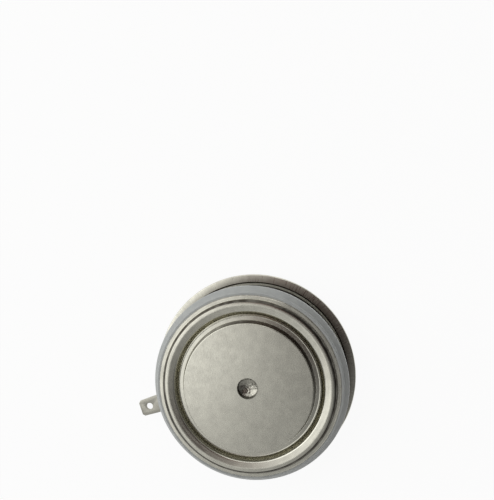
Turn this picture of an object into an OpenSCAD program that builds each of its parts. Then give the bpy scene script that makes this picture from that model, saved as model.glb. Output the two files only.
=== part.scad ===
// Disc thyristor: two copper poles clamp a silicon wafer inside a sealed ceramic ring.
// The origin is the centre of the lower contact face, and +Z is the disc's axis.
// The auxiliary cathode ear and the gate tube point along +X.

/* [Overall] */
// Height between the two contact faces
device_h = 26; // [24:0.5:32]
// Radius of both contact faces
contact_r = 25; // [22:0.5:30]
// Rounding of the contact faces' edges
contact_edge = 0.3; // [0.1:0.05:0.5]

/* [Locating holes] */
// Radius of the drilled hole in the middle of each contact face
centre_hole_r = 3.9; // [1.5:0.1:5]
// Depth of that hole's straight wall
centre_hole_d = 2; // [1.5:0.1:2.4]
// Point angle of the drill, in degrees
drill_angle = 118; // [90:2:140]

/* [Anode pole] */
// Height of the upper contact land above its shoulder
land_h = 3; // [2.4:0.1:3.4]
// Width of the shoulder around the land
shoulder_w = 2.5; // [2:0.1:3.5]
// Thickness of the shoulder
shoulder_t = 1.4; // [1.2:0.1:2]
// Rounding of the shoulder's outer edge
shoulder_edge = 0.7; // [0.3:0.05:0.9]
// Width of the turned relief at the foot of the land
relief_w = 0.6; // [0.3:0.05:1]
// Depth of that relief
relief_d = 0.5; // [0.2:0.05:0.8]
// How far the inner boss of each pole is wider than its contact face
boss_w = 1; // [0.6:0.1:1.3]

/* [Cathode pole] */
// Height of the cathode pole, from its contact face to its inner face
cathode_pole_h = 10.8; // [10:0.1:12]
// Height of the lower contact land
lid_land_h = 2.5; // [2.2:0.1:2.8]
// Width of the lower shoulder
lid_shoulder_w = 5.6; // [4.6:0.1:6.4]
// Thickness of the lower shoulder
lid_shoulder_t = 1.1; // [0.9:0.05:1.3]
// Rounding of the lower shoulder's outer edge
lid_shoulder_edge = 0.6; // [0.3:0.05:0.8]
// Radius of the bore that holds the gate contact
gate_bore_r = 3.2; // [3.1:0.05:3.8]
// Depth of that bore
gate_bore_d = 5; // [4.6:0.1:5.4]
// Depth of the slot that leads the gate wire out
slot_d = 2.45; // [2:0.05:2.6]

/* [Upper diaphragm] */
// Thickness of the upper diaphragm's sheet
sheet_t = 0.5; // [0.3:0.05:0.6]
// Distance from the shoulder to the bend at the bottom of the groove
moat_w = 0.6; // [0.5:0.05:0.8]
// Width of the hill's inner flank
flank_w = 1.3; // [1.1:0.1:1.6]
// Width of the hill's crown
crown_w = 3.7; // [3.4:0.1:4.2]
// Width of the slope that leads from the inner bend up to the crest
slope_w = 2.2; // [2:0.1:2.4]
// How far the inner bend lies below the crest
slope_drop = 0.45; // [0.3:0.05:0.6]
// Width of the hill's outer drop
drop_w = 0.8; // [0.6:0.05:1.1]
// Height of the hill above the lip
hill_rise = 1.3; // [1.2:0.05:1.7]
// Width of the flat lip on the ceramic
lip_w = 1.3; // [0.9:0.1:1.8]
// Bend radius at the bottom of the groove
moat_round = 0.6; // [0.4:0.05:0.7]
// Bend radius at the hill's inner side
hill_in_round = 0.9; // [0.7:0.05:1.1]
// Bend radius where the slope meets the crest
slope_round = 4; // [3:0.5:5]
// Bend radius at the hill's outer side
hill_out_round = 1.3; // [0.8:0.1:1.4]
// Bend radius at the foot of the hill's outer drop
lip_round = 0.45; // [0.3:0.05:0.6]

/* [Ceramic ring] */
// Distance from the ceramic's top face up to the upper contact face
ceramic_drop = 3.3; // [3.1:0.1:4]
// Width of the ceramic's top face outside the lip
ceramic_show = 1.3; // [0.8:0.1:2]
// Wall thickness of the ceramic
ceramic_wall = 5; // [4:0.1:6]
// Chamfer along the ceramic's outer edges
ceramic_chamfer = 0.35; // [0.1:0.05:0.6]
// How far the ceramic's rib stands out
rib_out = 2; // [1:0.1:2.5]
// Distance from the ceramic's top face down to the middle of the rib
rib_drop = 4.5; // [4.3:0.1:5.5]
// Height of the rib's crest
rib_h = 2; // [1.8:0.1:3]
// Height of each sloped flank of the rib
rib_flank = 1.9; // [1.6:0.1:2.3]
// Rounding of the rib's crest
rib_round = 0.9; // [0.4:0.1:1]
// Rounding at the foot of the rib's flanks
rib_foot_round = 0.6; // [0.3:0.1:0.8]

/* [Weld rim] */
// Height of the weld seam between the two rim flanges
seam_z = 3.25; // [3.1:0.05:3.4]
// Thickness of each rim flange beside the pinched groove
flange_t = 1.3; // [1.1:0.05:1.4]
// Thickness of each rim flange at its outer edge, and of the ear
edge_t = 0.75; // [0.5:0.05:0.9]
// Thickness that the cold weld leaves of each flange
pinch_t = 0.4; // [0.25:0.05:0.6]
// Distance from the ceramic to the pinched groove
pinch_gap = 0.5; // [0.3:0.05:1]
// Width of the pinched groove
pinch_w = 1.3; // [0.9:0.1:1.8]
// Width of the rim outside the groove
rim_w = 3.3; // [3:0.1:5]
// Rounding of the rim's outer edge
rim_edge = 0.5; // [0.2:0.05:0.6]
// Rounding of the edges along the seam and the groove
rim_nick = 0.12; // [0.05:0.01:0.2]

/* [Ear] */
// Distance from the rim's edge to the tip of the ear
ear_l = 11.2; // [9:0.2:16]
// Width of the ear at its root
ear_w = 7.8; // [7:0.1:10]
// Width of the ear at its tip
ear_tip_w = 6.8; // [6:0.1:7.6]
// Radius of the hole in the ear
ear_hole_r = 1.4; // [1:0.1:2]
// Distance from the ear's tip to the middle of its hole
ear_hole_in = 4.2; // [3.6:0.1:5]
// Size of the clipped corners at the tip
ear_clip = 0.9; // [0.6:0.1:1.5]
// Radius of the flare at the ear's root
ear_root_round = 2.6; // [1.5:0.1:3.2]
// Distance along the rim over which the root spreads on each side
ear_spread = 4; // [3:0.1:5]

/* [Lid flange] */
// Thickness of the lid flange's sheet
lid_t = 0.6; // [0.4:0.05:0.7]
// Distance from the lower shoulder to the bend beside it
lid_moat_w = 0.65; // [0.5:0.05:0.9]
// Width of the hump's inner flank
lid_flank_w = 0.85; // [0.7:0.05:1.1]
// Width of the hump's outer flank
lid_drop_w = 0.45; // [0.3:0.05:0.6]
// Flat run from the hump to the pinched groove
lid_run_w = 0.5; // [0.4:0.05:0.8]
// Height of the hump's crest above the lower contact face
hump_gap = 0.8; // [0.6:0.05:1]
// Height of the crown between the hump's two bends
hump_crown = 0.35; // [0.2:0.05:0.5]
// Bend radius beside the lower shoulder
lid_in_round = 0.5; // [0.4:0.05:0.7]
// Bend radius at the hump's inner side
hump_in_round = 1; // [0.6:0.05:1.2]
// Radius of the hump's crown
hump_round = 3; // [1.5:0.1:4]
// Bend radius at the hump's outer side
hump_out_round = 0.9; // [0.5:0.05:1.1]
// Bend radius at the foot of the hump's outer flank
lid_foot_round = 0.35; // [0.35:0.01:0.45]
// Clearance between the lid flange and the weld flange's inner edge
weld_clear = 0.1; // [0.05:0.05:0.4]

/* [Semiconductor stack] */
// How far the wafer is wider than the contact face
wafer_over = 0.5; // [0.3:0.1:0.8]
// Thickness of the silicon wafer
wafer_t = 0.8; // [0.4:0.05:1]
// Width of the bevel ground on the wafer's edge
wafer_bevel = 0.6; // [0.3:0.05:0.9]
// Thickness of the anode-side molybdenum disc
anode_moly_t = 2.5; // [2:0.1:3]
// Thickness of the cathode-side molybdenum disc
cathode_moly_t = 1; // [0.8:0.1:1.4]
// How far the cathode-side disc stays inside the wafer's edge
cathode_moly_in = 1.7; // [1.4:0.1:2.4]
// Radius of the hole for the gate contact in the cathode-side disc
moly_hole_r = 2.5; // [1.2:0.1:3]
// Width of the rubber outside the wafer
rubber_w = 1.2; // [0.9:0.05:1.3]
// Depth of the rubber lip under the wafer
rubber_under = 0.6; // [0.3:0.05:0.7]
// Height of the rubber beside the anode-side disc
rubber_up = 1; // [0.5:0.1:1.5]
// Gap between the rubber lip and the cathode-side disc
rubber_gap = 0.3; // [0.1:0.05:0.6]

/* [Centring ring] */
// Clearance of the centring ring around the pole's boss
ring_bore_clear = 0.1; // [0.05:0.05:0.2]
// Clearance between the centring ring and the rubber
ring_rubber_clear = 0.2; // [0.1:0.05:0.4]
// Clearance between the centring ring and the ceramic
ring_wall_clear = 0.3; // [0.2:0.05:0.5]
// Height of the ring above the wafer
ring_up = 1.6; // [1:0.1:2]
// Height of the ring's inner step above the pole's inner face
ring_step_up = 0.15; // [0.05:0.05:0.3]

/* [Gate contact] */
// Radius of the gate contact pin
pin_r = 0.8; // [0.5:0.05:1]
// Radius of the head on the pin
head_r = 2; // [1.8:0.05:2.1]
// Thickness of the head
head_t = 1.6; // [1.2:0.1:1.8]
// Length of the pin's tail inside the spring
tail_l = 1.5; // [0.8:0.1:1.7]
// Wall of the insulating cup
cup_wall = 0.7; // [0.5:0.05:0.8]
// Floor of the insulating cup
cup_floor = 0.6; // [0.4:0.05:0.8]
// Clearance of the cup in its bore
cup_clear = 0.1; // [0.05:0.01:0.15]
// How far the cup stays below the pole's inner face
cup_down = 0.2; // [0.1:0.05:0.4]
// Mean radius of the gate spring
spring_r = 1.5; // [1.35:0.05:1.7]
// Radius of the spring's wire
spring_wire_r = 0.22; // [0.15:0.01:0.25]
// Turns of the gate spring
spring_turns = 3; // [2:0.5:3]

/* [Gate lead-out] */
// Radius of the gate wire
lead_r = 0.4; // [0.3:0.05:0.4]
// How far the wire's seat reaches into the head
lead_seat = 1; // [0.5:0.1:1.1]
// Radius of the sleeve on the wire
sleeve_r = 0.85; // [0.7:0.05:1]
// Clearance between the wire and the sleeve
sleeve_clear = 0.05; // [0.02:0.01:0.1]
// Clearance around the sleeve in its slot and holes
sleeve_room = 0.1; // [0.05:0.05:0.2]
// Outer radius of the gate tube
tube_r = 1.25; // [0.9:0.05:1.6]
// Radius of the tube's bore
tube_bore_r = 0.6; // [0.5:0.05:0.8]
// Length of the tube outside the ceramic
tube_out = 4.5; // [3.5:0.1:5.5]
// How far the tube stands inside the ceramic
tube_in = 0.1; // [0.05:0.05:0.15]
// Length of the tip that grips the wire
tube_grip = 2; // [1:0.1:3]
// Outer radius of the tube's drawn-down end, where a connector goes
tube_end_r = 1; // [0.9:0.05:1.05]
// Length of the tube's full width outside its collar
tube_step = 0.1; // [0.1:0.05:0.3]
// Radius of the brazed collar around the tube
collar_r = 2.4; // [1.8:0.1:2.8]
// Thickness of that collar
collar_t = 1; // [0.6:0.1:1.4]

/* [Hidden] */
$fn = 120;

// Straight steps in each rounded corner
arc_steps = 8;
// Rings in one turn of the spring, and sides of its wire
spring_rings = 18;
spring_sides = 8;
// Overrun of every cut past the face that it opens
cut_over = 1;

// Copper poles
boss_r = contact_r + boss_w;
drill_tip_h = centre_hole_r / tan(drill_angle / 2);
shoulder_r = contact_r + shoulder_w;
shoulder_top = device_h - land_h;
shoulder_foot = shoulder_top - shoulder_t;
lid_shoulder_r = contact_r + lid_shoulder_w;
lid_shoulder_in = lid_land_h + lid_shoulder_t;

// Stack between the poles, from the cathode up
moly_low = cathode_pole_h + cathode_moly_t;
wafer_top = moly_low + wafer_t;
anode_face = wafer_top + anode_moly_t;
wafer_r = contact_r + wafer_over;
cathode_moly_r = wafer_r - cathode_moly_in;
rubber_r = wafer_r + rubber_w;

// Upper diaphragm, from the pole outwards
ceramic_top = device_h - ceramic_drop;
moat_r = shoulder_r + moat_w;
crown_in_r = moat_r + flank_w;
crest_r = crown_in_r + slope_w;
crown_out_r = crown_in_r + crown_w;
lip_in_r = crown_out_r + drop_w;
lip_out_r = lip_in_r + lip_w;
lip_mid = ceramic_top + sheet_t / 2;
crown_mid = lip_mid + hill_rise;
moat_mid = shoulder_foot - sheet_t / 2;

// Ceramic ring and weld rim
ceramic_r = lip_out_r + ceramic_show;
ceramic_in_r = ceramic_r - ceramic_wall;
ceramic_foot = seam_z + flange_t;
rib_r = ceramic_r + rib_out;
rib_low = ceramic_top - rib_drop - rib_h / 2;
rib_high = rib_low + rib_h;
pinch_in_r = ceramic_r + pinch_gap;
pinch_out_r = pinch_in_r + pinch_w;
rim_r = pinch_out_r + rim_w;
ear_tip_r = rim_r + ear_l;
ear_hole_x = ear_tip_r - ear_hole_in;

// Lid flange, from the pole outwards
lid_bend_r = lid_shoulder_r + lid_moat_w;
hump_in_r = lid_bend_r + lid_flank_w;
hump_foot_r = pinch_in_r - lid_run_w;
hump_out_r = hump_foot_r - lid_drop_w;
hump_mid_r = (hump_in_r + hump_out_r) / 2;
lid_in_mid = lid_shoulder_in + lid_t / 2;
hump_mid = hump_gap + lid_t / 2;
lid_out_mid = seam_z - lid_t / 2;
weld_in_r = hump_in_r + weld_clear;

// Centring ring
ring_foot = lid_shoulder_in + lid_t;
ring_bore_r = boss_r + ring_bore_clear;
ring_step_r = rubber_r + ring_rubber_clear;
ring_r = ceramic_in_r - ring_wall_clear;
ring_top = wafer_top + ring_up;
ring_step = cathode_pole_h + ring_step_up;

// Gate contact and its lead-out
cup_base = cathode_pole_h - gate_bore_d;
cup_in = cup_base + cup_floor;
cup_r = gate_bore_r - cup_clear;
cup_top = cathode_pole_h - cup_down;
slot_foot = cathode_pole_h - slot_d;
gate_z = slot_foot + sleeve_r;
sleeve_way_r = sleeve_r + sleeve_room;
head_foot = gate_z - head_t / 2;
lead_x = head_r - lead_seat;
sleeve_x = cup_r - cup_wall;
tube_x = ceramic_in_r - tube_in;
tube_tip_x = ceramic_r + tube_out;
tube_end_x = ceramic_r + collar_t + tube_step;

// A point of a path without its bend radius
function place(p) = [p[0], p[1]];

// Unit vector from one point to the next
function heading(a, b) = (b - a) / norm(b - a);

// A vector turned to the left by an angle
function turned(v, a) = [v[0] * cos(a) - v[1] * sin(a), v[0] * sin(a) + v[1] * cos(a)];

// Points of one bend, each with the path's left-hand normal there
function bend(before, here, after) =
    let (
        into = heading(place(before), place(here)),
        out = heading(place(here), place(after)),
        turn = atan2(into[0] * out[1] - into[1] * out[0], into * out),
        side = sign(turn),
        start = place(here) - into * here[2] * tan(abs(turn) / 2),
        normal = turned(into, 90),
        middle = start + normal * side * here[2]
    )
    [for (k = [0:arc_steps])
        let (n = turned(normal, turn * k / arc_steps))
        [middle - n * side * here[2], n]];

// Closed outline from corners [x, y, radius], where radius 0 stays sharp
function outline(corners) =
    let (n = len(corners))
    [for (i = [0:n - 1])
        each corners[i][2] == 0 ? [place(corners[i])]
            : [for (s = bend(corners[(i + n - 1) % n], corners[i], corners[(i + 1) % n])) s[0]]];

// Open path of a bent sheet: its points, each with its normal
function sheet_path(p) =
    let (last = len(p) - 1)
    concat(
        [[place(p[0]), turned(heading(place(p[0]), place(p[1])), 90)]],
        [for (i = [1:last - 1]) each bend(p[i - 1], p[i], p[i + 1])],
        [[place(p[last]), turned(heading(place(p[last - 1]), place(p[last])), 90)]]);

// Section of a sheet of thickness t along a path of its middle line
function sheet_section(p, t) =
    let (s = sheet_path(p), last = len(s) - 1)
    concat(
        [for (e = s) e[0] + e[1] * t / 2],
        [for (i = [last:-1:0]) s[i][0] - s[i][1] * t / 2]);

// Section of a rim flange above its seam, from its inner edge to the rim
function flange_section(inner_r) = outline([
    [inner_r, 0, 0],
    [rim_r, 0, rim_nick],
    [rim_r, edge_t, rim_edge],
    [pinch_out_r, flange_t, rim_nick],
    [pinch_out_r, pinch_t, 0],
    [pinch_in_r, pinch_t, 0],
    [pinch_in_r, flange_t, rim_nick],
    [inner_r, flange_t, 0]]);

// Distance along X at which a circle of radius r has a given y
function chord_x(r, y) = sqrt(r * r - y * y);

// Outline of the ear, from inside the rim to its clipped tip
function ear_outline() =
    let (
        h = ear_w / 2,
        tip_h = ear_tip_w / 2,
        wide = h + ear_spread,
        inner = pinch_out_r + rim_edge,
        half = [
            [inner, -wide, 0],
            [chord_x(rim_r, wide), -wide, 0],
            [chord_x(rim_r, h), -h, ear_root_round],
            [ear_tip_r - ear_clip, -tip_h, 0],
            [ear_tip_r, -tip_h + ear_clip, 0]]
    )
    outline(concat(half, [for (i = [len(half) - 1:-1:0])
        [half[i][0], -half[i][1], half[i][2]]]));

// Centre of the spring's wire at a share of its height
function coil_point(share) =
    let (
        a = 360 * spring_turns * share,
        low = cup_in + spring_wire_r,
        high = head_foot - spring_wire_r
    )
    [spring_r * cos(a), spring_r * sin(a), low + (high - low) * share];

// Corners of the wire's round section at a share of the spring's height
function coil_ring(share) =
    let (a = 360 * spring_turns * share, c = coil_point(share))
    [for (k = [0:spring_sides - 1])
        let (b = 360 * k / spring_sides, out = spring_wire_r * cos(b))
        [c[0] + out * cos(a), c[1] + out * sin(a), c[2] + spring_wire_r * sin(b)]];

// Locating hole with its drilled point, opening upwards at z = 0
module centre_hole() {
    translate([0, 0, -centre_hole_d])
        cylinder(r = centre_hole_r, h = centre_hole_d + cut_over);
    translate([0, 0, -centre_hole_d - drill_tip_h])
        cylinder(r1 = 0, r2 = centre_hole_r, h = drill_tip_h);
}

// Round bar along +X at the gate's height, from one distance to another
module gate_bar(r, from_x, to_x) {
    translate([from_x, 0, gate_z])
        rotate([0, 90, 0])
            cylinder(r = r, h = to_x - from_x);
}

module top_pole() {
    color([0.72, 0.71, 0.66])
        difference() {
            rotate_extrude()
                polygon(outline([
                    [0, anode_face, 0],
                    [boss_r, anode_face, contact_edge],
                    [boss_r, shoulder_foot, 0],
                    [shoulder_r, shoulder_foot, contact_edge],
                    [shoulder_r, shoulder_top, shoulder_edge],
                    [contact_r + relief_w, shoulder_top, contact_edge],
                    [contact_r + relief_w, shoulder_top - relief_d, 0],
                    [contact_r, shoulder_top - relief_d, 0],
                    [contact_r, device_h, contact_edge],
                    [0, device_h, 0]]));
            translate([0, 0, device_h])
                centre_hole();
        }
}

module top_diaphragm() {
    color([0.70, 0.69, 0.64])
        rotate_extrude()
            polygon(sheet_section([
                [boss_r, moat_mid, 0],
                [moat_r, moat_mid, moat_round],
                [crown_in_r, crown_mid - slope_drop, hill_in_round],
                [crest_r, crown_mid, slope_round],
                [crown_out_r, crown_mid, hill_out_round],
                [lip_in_r, lip_mid, lip_round],
                [lip_out_r, lip_mid, 0]], sheet_t));
}

// Ceramic with its rib, from an inner radius outwards
module ceramic_form(inner_r) {
    rotate_extrude()
        polygon(outline([
            [inner_r, ceramic_foot, 0],
            [ceramic_r - ceramic_chamfer, ceramic_foot, 0],
            [ceramic_r, ceramic_foot + ceramic_chamfer, 0],
            [ceramic_r, rib_low - rib_flank, rib_foot_round],
            [rib_r, rib_low, rib_round],
            [rib_r, rib_high, rib_round],
            [ceramic_r, rib_high + rib_flank, rib_foot_round],
            [ceramic_r, ceramic_top - ceramic_chamfer, 0],
            [ceramic_r - ceramic_chamfer, ceramic_top, 0],
            [inner_r, ceramic_top, 0]]));
}

module ceramic_ring() {
    color([0.68, 0.68, 0.70])
        difference() {
            ceramic_form(ceramic_in_r);
            gate_bar(tube_r, 0, rib_r + cut_over);
        }
}

module weld_flange() {
    color([0.70, 0.69, 0.64])
        translate([0, 0, seam_z])
            difference() {
                union() {
                    rotate_extrude()
                        polygon(flange_section(weld_in_r));
                    linear_extrude(edge_t)
                        polygon(ear_outline());
                }
                translate([ear_hole_x, 0, -cut_over])
                    cylinder(r = ear_hole_r, h = edge_t + 2 * cut_over);
            }
}

module lid_flange() {
    color([0.70, 0.69, 0.64])
        rotate_extrude() {
            polygon(sheet_section([
                [boss_r, lid_in_mid, 0],
                [lid_bend_r, lid_in_mid, lid_in_round],
                [hump_in_r, hump_mid + hump_crown, hump_in_round],
                [hump_mid_r, hump_mid, hump_round],
                [hump_out_r, hump_mid + hump_crown, hump_out_round],
                [hump_foot_r, lid_out_mid, lid_foot_round],
                [pinch_in_r, lid_out_mid, 0]], lid_t));
            translate([0, seam_z])
                mirror([0, 1])
                    polygon(outline([
                        [pinch_in_r - lid_t / 2, 0, 0],
                        [rim_r, 0, rim_nick],
                        [rim_r, edge_t, rim_edge],
                        [pinch_out_r, flange_t, rim_nick],
                        [pinch_out_r, pinch_t, 0],
                        [pinch_in_r - lid_t / 2, pinch_t, 0]]));
        }
}

module bottom_pole() {
    color([0.72, 0.71, 0.66])
        difference() {
            rotate_extrude()
                polygon(outline([
                    [0, 0, 0],
                    [contact_r, 0, contact_edge],
                    [contact_r, lid_land_h, 0],
                    [lid_shoulder_r, lid_land_h, lid_shoulder_edge],
                    [lid_shoulder_r, lid_shoulder_in, 0],
                    [boss_r, lid_shoulder_in, 0],
                    [boss_r, cathode_pole_h, contact_edge],
                    [0, cathode_pole_h, 0]]));
            mirror([0, 0, 1])
                centre_hole();
            translate([0, 0, cup_base])
                cylinder(r = gate_bore_r, h = gate_bore_d + cut_over);
            translate([0, -sleeve_way_r, slot_foot])
                cube([boss_r + cut_over, 2 * sleeve_way_r, slot_d + cut_over]);
        }
}

module anode_moly_disc() {
    color([0.45, 0.46, 0.48])
        translate([0, 0, wafer_top])
            cylinder(r = wafer_r, h = anode_moly_t);
}

module silicon_wafer() {
    color([0.25, 0.27, 0.32])
        translate([0, 0, moly_low])
            cylinder(r1 = wafer_r - wafer_bevel, r2 = wafer_r, h = wafer_t);
}

module cathode_moly_disc() {
    color([0.45, 0.46, 0.48])
        translate([0, 0, cathode_pole_h])
            difference() {
                cylinder(r = cathode_moly_r, h = cathode_moly_t);
                translate([0, 0, -cut_over])
                    cylinder(r = moly_hole_r, h = cathode_moly_t + 2 * cut_over);
            }
}

module edge_rubber() {
    color([0.85, 0.85, 0.82])
        rotate_extrude()
            polygon([
                [cathode_moly_r + rubber_gap, moly_low - rubber_under],
                [rubber_r, moly_low - rubber_under],
                [rubber_r, wafer_top + rubber_up],
                [wafer_r, wafer_top + rubber_up],
                [wafer_r, wafer_top],
                [wafer_r - wafer_bevel, moly_low],
                [cathode_moly_r + rubber_gap, moly_low]]);
}

module centring_ring() {
    color([0.92, 0.92, 0.90])
        difference() {
            rotate_extrude()
                polygon([
                    [ring_bore_r, ring_foot],
                    [ring_r, ring_foot],
                    [ring_r, ring_top],
                    [ring_step_r, ring_top],
                    [ring_step_r, ring_step],
                    [ring_bore_r, ring_step]]);
            gate_bar(sleeve_way_r, 0, ring_r + cut_over);
        }
}

module gate_contact_pin() {
    color([0.80, 0.78, 0.72])
        difference() {
            union() {
                translate([0, 0, head_foot - tail_l])
                    cylinder(r = pin_r, h = moly_low - head_foot + tail_l);
                translate([0, 0, head_foot])
                    cylinder(r = head_r, h = head_t);
            }
            gate_bar(lead_r, lead_x, head_r + cut_over);
        }
}

module gate_spring() {
    rings = spring_turns * spring_rings;
    points = [for (i = [0:rings]) each coil_ring(i / rings)];
    sides = [for (i = [0:rings - 1], k = [0:spring_sides - 1])
        let (next = (k + 1) % spring_sides)
        [i * spring_sides + k, (i + 1) * spring_sides + k,
            (i + 1) * spring_sides + next, i * spring_sides + next]];
    first_end = [for (k = [0:spring_sides - 1]) k];
    last_end = [for (k = [spring_sides - 1:-1:0]) rings * spring_sides + k];
    color([0.62, 0.62, 0.60])
        polyhedron(points, concat(sides, [first_end, last_end]));
}

module gate_insulator() {
    color([0.95, 0.94, 0.90])
        difference() {
            translate([0, 0, cup_base])
                cylinder(r = cup_r, h = cup_top - cup_base);
            translate([0, 0, cup_in])
                cylinder(r = cup_r - cup_wall, h = gate_bore_d);
            translate([0, -sleeve_way_r, slot_foot - sleeve_room])
                cube([gate_bore_r, 2 * sleeve_way_r, gate_bore_d]);
        }
}

module gate_lead() {
    color([0.78, 0.77, 0.74])
        gate_bar(lead_r, lead_x, tube_tip_x);
}

module lead_sleeve() {
    color([0.93, 0.93, 0.88])
        difference() {
            gate_bar(sleeve_r, sleeve_x, ring_r);
            gate_bar(lead_r + sleeve_clear, 0, ring_r + cut_over);
        }
}

module gate_tube() {
    color([0.70, 0.69, 0.64])
        difference() {
            union() {
                gate_bar(tube_r, tube_x, tube_end_x);
                gate_bar(tube_end_r, tube_x, tube_tip_x);
            }
            gate_bar(tube_bore_r, 0, tube_tip_x - tube_grip);
            gate_bar(lead_r, 0, tube_tip_x + cut_over);
        }
}

module tube_collar() {
    color([0.70, 0.69, 0.64])
        difference() {
            gate_bar(collar_r, ceramic_r - collar_r, ceramic_r + collar_t);
            gate_bar(tube_r, 0, ceramic_r + collar_t + cut_over);
            ceramic_form(0);
        }
}

top_pole();
top_diaphragm();
ceramic_ring();
weld_flange();
lid_flange();
bottom_pole();
anode_moly_disc();
silicon_wafer();
cathode_moly_disc();
edge_rubber();
centring_ring();
gate_contact_pin();
gate_spring();
gate_insulator();
gate_lead();
lead_sleeve();
gate_tube();
tube_collar();
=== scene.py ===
"""Looks of a disc thyristor: plated poles, pressed sheet rings, ceramic wall, ear and gate tube."""

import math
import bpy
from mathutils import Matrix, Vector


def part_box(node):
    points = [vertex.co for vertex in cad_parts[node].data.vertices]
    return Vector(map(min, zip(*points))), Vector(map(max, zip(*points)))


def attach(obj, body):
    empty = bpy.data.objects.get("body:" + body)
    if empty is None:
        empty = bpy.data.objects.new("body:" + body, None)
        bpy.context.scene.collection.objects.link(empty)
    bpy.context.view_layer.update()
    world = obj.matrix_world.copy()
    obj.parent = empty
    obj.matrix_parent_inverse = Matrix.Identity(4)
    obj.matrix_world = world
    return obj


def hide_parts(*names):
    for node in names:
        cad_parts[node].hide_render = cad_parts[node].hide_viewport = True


bl_info = {
    "name": "Disc Thyristor",
    "version": (1, 0, 0),
    "blender": (4, 5, 0),
    "location": "3D View > Sidebar > Thyristor",
    "description": "Ceramic disc cell with plated poles, a pressed diaphragm, a welded rim and an ear",
    "category": "Add Mesh",
}

import bmesh
import bpy
from bpy.props import FloatProperty, FloatVectorProperty, IntProperty, PointerProperty
from mathutils import Matrix, Vector

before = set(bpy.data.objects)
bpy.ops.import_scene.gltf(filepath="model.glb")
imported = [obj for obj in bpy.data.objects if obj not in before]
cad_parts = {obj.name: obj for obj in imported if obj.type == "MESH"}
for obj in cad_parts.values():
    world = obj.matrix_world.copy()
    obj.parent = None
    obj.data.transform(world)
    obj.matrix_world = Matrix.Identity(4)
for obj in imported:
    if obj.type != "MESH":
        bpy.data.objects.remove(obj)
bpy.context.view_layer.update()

MM = 0.001
BODY = "root"
PREFIX = "thyristor"


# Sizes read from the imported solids, in metres
def low(node, axis):
    """Lowest place of a solid along one axis."""
    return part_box(node)[0]["xyz".index(axis)]


def high(node, axis):
    """Highest place of a solid along one axis."""
    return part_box(node)[1]["xyz".index(axis)]


def length(name, size_mm, text):
    """A length property with its default given in millimetres."""
    return FloatProperty(
        name=name, description=text, default=size_mm * MM, min=0.0,
        unit="LENGTH", subtype="DISTANCE", precision=5,
    )


def angle(name, degrees, text):
    """An angle property with its default given in degrees."""
    return FloatProperty(name=name, description=text, default=math.radians(degrees), subtype="ANGLE")


def amount(name, value, text):
    """A plain number property."""
    return FloatProperty(name=name, description=text, default=value)


def colour(name, code, text):
    """A colour property with its default given as an sRGB hex code."""
    return FloatVectorProperty(
        name=name, description=text, default=linear(code), size=4, min=0.0, max=1.0, subtype="COLOR",
    )


def linear(code):
    """Linear red, green, blue and full opacity of an sRGB hex code."""
    parts = [int(code[start:start + 2], 16) / 255 for start in (0, 2, 4)]
    return (*(part / 12.92 if part <= 0.04045 else ((part + 0.055) / 1.055) ** 2.4 for part in parts), 1.0)


class PoleSettings(bpy.types.PropertyGroup):
    """Sizes of the two copper poles."""

    contact_radius: length("Contact radius", 25, "Radius of both contact faces")
    contact_edge: length("Contact edge", 0.3, "Rounding of the contact faces' edges")
    hole_radius: length("Hole radius", 3.9, "Radius of the locating holes")
    hole_depth: length("Hole depth", 2, "Depth of the holes' straight wall")
    hole_edge: length("Hole edge", 0.12, "Rounding of the holes' mouths")
    drill_angle: angle("Drill angle", 118, "Point angle of the drill")
    land_height: length("Land height", 3, "Height of the upper land above its shoulder")
    shoulder_thickness: length("Shoulder thickness", 1.4, "Thickness of the upper shoulder")
    shoulder_edge: length("Shoulder edge", 0.08, "Rounding of the upper shoulder's raised edge")
    shoulder_fall: length("Shoulder fall", 0.13, "How far the upper shoulder falls outwards")
    burr_width: length("Raised edge", 0.35, "Width of the shoulder's raised outer edge")
    burr_height: length("Raised edge height", 0.08, "Height of that raised edge")
    relief_width: length("Relief width", 0.6, "Width of the turned relief at the land's foot")
    relief_depth: length("Relief depth", 0.5, "Depth of that relief")
    boss_radius: length("Boss radius", 26, "Radius of the poles inside the housing")
    lid_land_height: length("Lower land height", 2.5, "Height of the lower contact land")
    lid_shoulder_thickness: length("Lower shoulder", 1.1, "Thickness of the lower shoulder")
    lid_shoulder_edge: length("Lower shoulder edge", 0.6, "Rounding of the lower shoulder's edge")
    gate_bore_radius: length("Gate bore", 3.2, "Radius of the bore for the gate contact")
    gate_bore_depth: length("Gate bore depth", 5, "Depth of that bore")
    slot_depth: length("Slot depth", 2.45, "Depth of the slot for the gate wire")
    slot_half_width: length("Slot half width", 0.95, "Half the width of that slot")


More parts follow.
